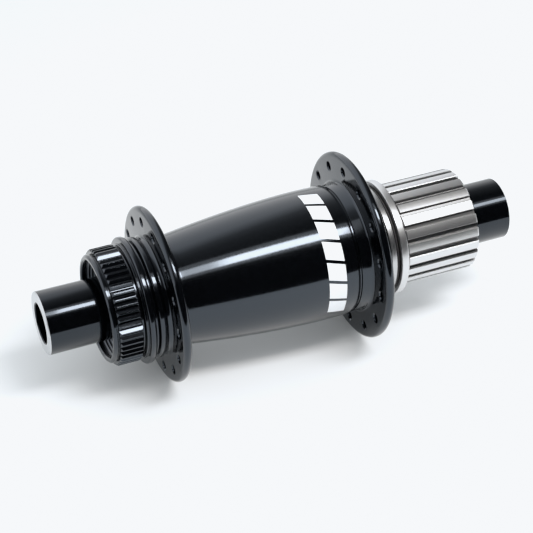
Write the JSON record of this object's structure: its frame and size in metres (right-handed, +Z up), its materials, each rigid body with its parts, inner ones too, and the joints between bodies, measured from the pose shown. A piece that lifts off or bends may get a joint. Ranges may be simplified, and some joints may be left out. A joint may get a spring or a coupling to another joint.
{
  "type": "rear bicycle hub",
  "caption": "Rear bicycle hub with two spoke flanges, a splined disc mount, a splined freehub and pull-off end caps, for a thru axle.",
  "frame": {"origin": "on the hub's axis, midway between the outer faces of the two end caps", "axes": "+X along the axis towards the drive side (the freehub), +Z up, -Y towards the viewer who sees the brake side on the left"},
  "size_m": [0.148, 0.0582, 0.0582],
  "materials": {
    "black_anodised": "gloss black anodised aluminium",
    "machined_steel": "satin machined steel",
    "bearing_steel": "ground bearing steel",
    "spring_steel": "blued spring steel",
    "bare_aluminium": "turned aluminium",
    "seal_rubber": "matt black nitrile rubber"
  },
  "bodies": {
    "axle": {"axle": "bare_aluminium", "hub_bearing_spacer": "bare_aluminium", "freehub_bearing_spacer": "bare_aluminium", "brake_side_bearing_inner_race": "bearing_steel", "drive_side_bearing_inner_race": "bearing_steel", "freehub_inboard_bearing_inner_race": "bearing_steel", "freehub_outboard_bearing_inner_race": "bearing_steel"},
    "shell": {"hub_shell": "black_anodised", "ratchet_ring": "machined_steel", "brake_side_dust_seal": "seal_rubber", "brake_side_bearing_outer_race": "bearing_steel", "brake_side_bearing_left_seal": "seal_rubber", "brake_side_bearing_right_seal": "seal_rubber", "drive_side_bearing_outer_race": "bearing_steel", "drive_side_bearing_left_seal": "seal_rubber", "drive_side_bearing_right_seal": "seal_rubber"},
    "freehub": {"freehub_body": "machined_steel", "freehub_seal": "seal_rubber", "freehub_circlip": "spring_steel", "pawl_spring_1": "spring_steel", "pawl_spring_2": "spring_steel", "pawl_spring_3": "spring_steel", "pawl_spring_4": "spring_steel", "freehub_inboard_bearing_outer_race": "bearing_steel", "freehub_inboard_bearing_left_seal": "seal_rubber", "freehub_inboard_bearing_right_seal": "seal_rubber", "freehub_outboard_bearing_outer_race": "bearing_steel", "freehub_outboard_bearing_left_seal": "seal_rubber", "freehub_outboard_bearing_right_seal": "seal_rubber"},
    "pawl_1": {"pawl_1": "machined_steel"},
    "pawl_2": {"pawl_2": "machined_steel"},
    "pawl_3": {"pawl_3": "machined_steel"},
    "pawl_4": {"pawl_4": "machined_steel"},
    "brake_side_balls": {"brake_side_bearing_balls": "bearing_steel"},
    "drive_side_balls": {"drive_side_bearing_balls": "bearing_steel"},
    "freehub_inboard_balls": {"freehub_inboard_bearing_balls": "bearing_steel"},
    "freehub_outboard_balls": {"freehub_outboard_bearing_balls": "bearing_steel"},
    "brake_side_cap": {"brake_side_end_cap": "black_anodised", "brake_side_o_ring": "seal_rubber"},
    "drive_side_cap": {"drive_side_end_cap": "black_anodised", "drive_side_o_ring": "seal_rubber"}
  },
  "joints": [
    {"name": "hub_shell_spin", "type": "hinge", "parent": "axle", "child": "shell", "pos_m": [0, 0, 0], "axis": [1, 0, 0], "continuous": true},
    {"name": "freewheel", "type": "hinge", "parent": "shell", "child": "freehub", "pos_m": [0, 0, 0], "axis": [1, 0, 0], "continuous": true},
    {"name": "pawl_1_tilt", "type": "hinge", "parent": "freehub", "child": "pawl_1", "pos_m": [0.0239, 0, 0.012], "axis": [-1, 0, 0], "range_deg": [0, 12.2], "stiffness_Nm_per_rad": 0.0005, "springref_deg": -20.05},
    {"name": "pawl_2_tilt", "type": "hinge", "parent": "freehub", "child": "pawl_2", "pos_m": [0.0239, -0.012, 0], "axis": [-1, 0, 0], "range_deg": [0, 12.2], "stiffness_Nm_per_rad": 0.0005, "springref_deg": -20.05},
    {"name": "pawl_3_tilt", "type": "hinge", "parent": "freehub", "child": "pawl_3", "pos_m": [0.0239, 0, -0.012], "axis": [-1, 0, 0], "range_deg": [0, 12.2], "stiffness_Nm_per_rad": 0.0005, "springref_deg": -20.05},
    {"name": "pawl_4_tilt", "type": "hinge", "parent": "freehub", "child": "pawl_4", "pos_m": [0.0239, 0.012, 0], "axis": [-1, 0, 0], "range_deg": [0, 12.2], "stiffness_Nm_per_rad": 0.0005, "springref_deg": -20.05},
    {"name": "brake_side_balls_orbit", "type": "hinge", "parent": "axle", "child": "brake_side_balls", "pos_m": [0, 0, 0], "axis": [1, 0, 0], "continuous": true},
    {"name": "drive_side_balls_orbit", "type": "hinge", "parent": "axle", "child": "drive_side_balls", "pos_m": [0, 0, 0], "axis": [1, 0, 0], "continuous": true},
    {"name": "freehub_inboard_balls_orbit", "type": "hinge", "parent": "axle", "child": "freehub_inboard_balls", "pos_m": [0, 0, 0], "axis": [1, 0, 0], "continuous": true},
    {"name": "freehub_outboard_balls_orbit", "type": "hinge", "parent": "axle", "child": "freehub_outboard_balls", "pos_m": [0, 0, 0], "axis": [1, 0, 0], "continuous": true},
    {"name": "brake_side_cap_pull", "type": "slide", "parent": "axle", "child": "brake_side_cap", "axis": [-1, 0, 0], "range_m": [0, 0.016]},
    {"name": "drive_side_cap_pull", "type": "slide", "parent": "axle", "child": "drive_side_cap", "axis": [1, 0, 0], "range_m": [0, 0.014]}
  ],
  "couplings": [
    {"joint": "brake_side_balls_orbit", "follows": "hub_shell_spin", "ratio": 0.588},
    {"joint": "drive_side_balls_orbit", "follows": "hub_shell_spin", "ratio": 0.588},
    {"joint": "freehub_inboard_balls_orbit", "follows": "hub_shell_spin", "ratio": 0.561},
    {"joint": "freehub_outboard_balls_orbit", "follows": "hub_shell_spin", "ratio": 0.561}
  ]
}
